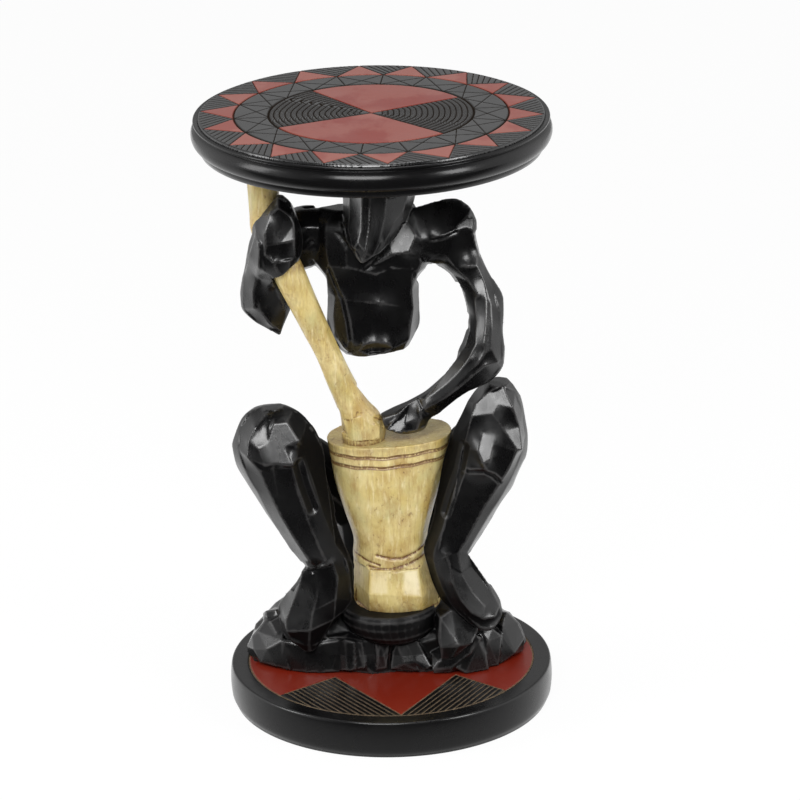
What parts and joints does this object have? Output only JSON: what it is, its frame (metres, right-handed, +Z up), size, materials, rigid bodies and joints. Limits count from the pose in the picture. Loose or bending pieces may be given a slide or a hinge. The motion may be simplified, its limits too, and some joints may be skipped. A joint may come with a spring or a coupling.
{
  "type": "side table",
  "caption": "Round carved wooden side table: a squatting figure with a mortar and pestle holds the top on its head, over a rocky foot on a round base",
  "frame": {"origin": "on the floor, straight under the centre of the round top", "axes": "+Z up, -Y towards the front that the picture shows, +X towards the figure's left, which is the right of the picture"},
  "size_m": [0.305, 0.305, 0.532],
  "materials": {
    "black_wood": "carved, painted black and polished",
    "pale_wood": "carved, pale cream stain with brown in the grooves",
    "dowel_wood": "bare turned beech",
    "screw_steel": "plain zinc plated"
  },
  "bodies": {
    "root": {"top_board": "black_wood", "head": "black_wood", "torso": "black_wood", "left_upper_arm": "black_wood", "right_upper_arm": "black_wood", "left_forearm": "black_wood", "right_forearm": "black_wood", "hips": "black_wood", "left_thigh": "black_wood", "right_thigh": "black_wood", "left_shin": "black_wood", "right_shin": "black_wood", "rock": "black_wood", "base_board": "black_wood", "mortar": "pale_wood", "pestle": "pale_wood", "top_dowels": "dowel_wood", "pestle_dowel": "dowel_wood", "neck_dowel": "dowel_wood", "shoulder_dowels": "dowel_wood", "elbow_dowels": "dowel_wood", "hip_dowels": "dowel_wood", "knee_dowels": "dowel_wood", "foot_dowels": "dowel_wood", "seat_dowel": "dowel_wood", "mortar_dowel": "dowel_wood", "base_screws": "screw_steel"}
  },
  "joints": []
}
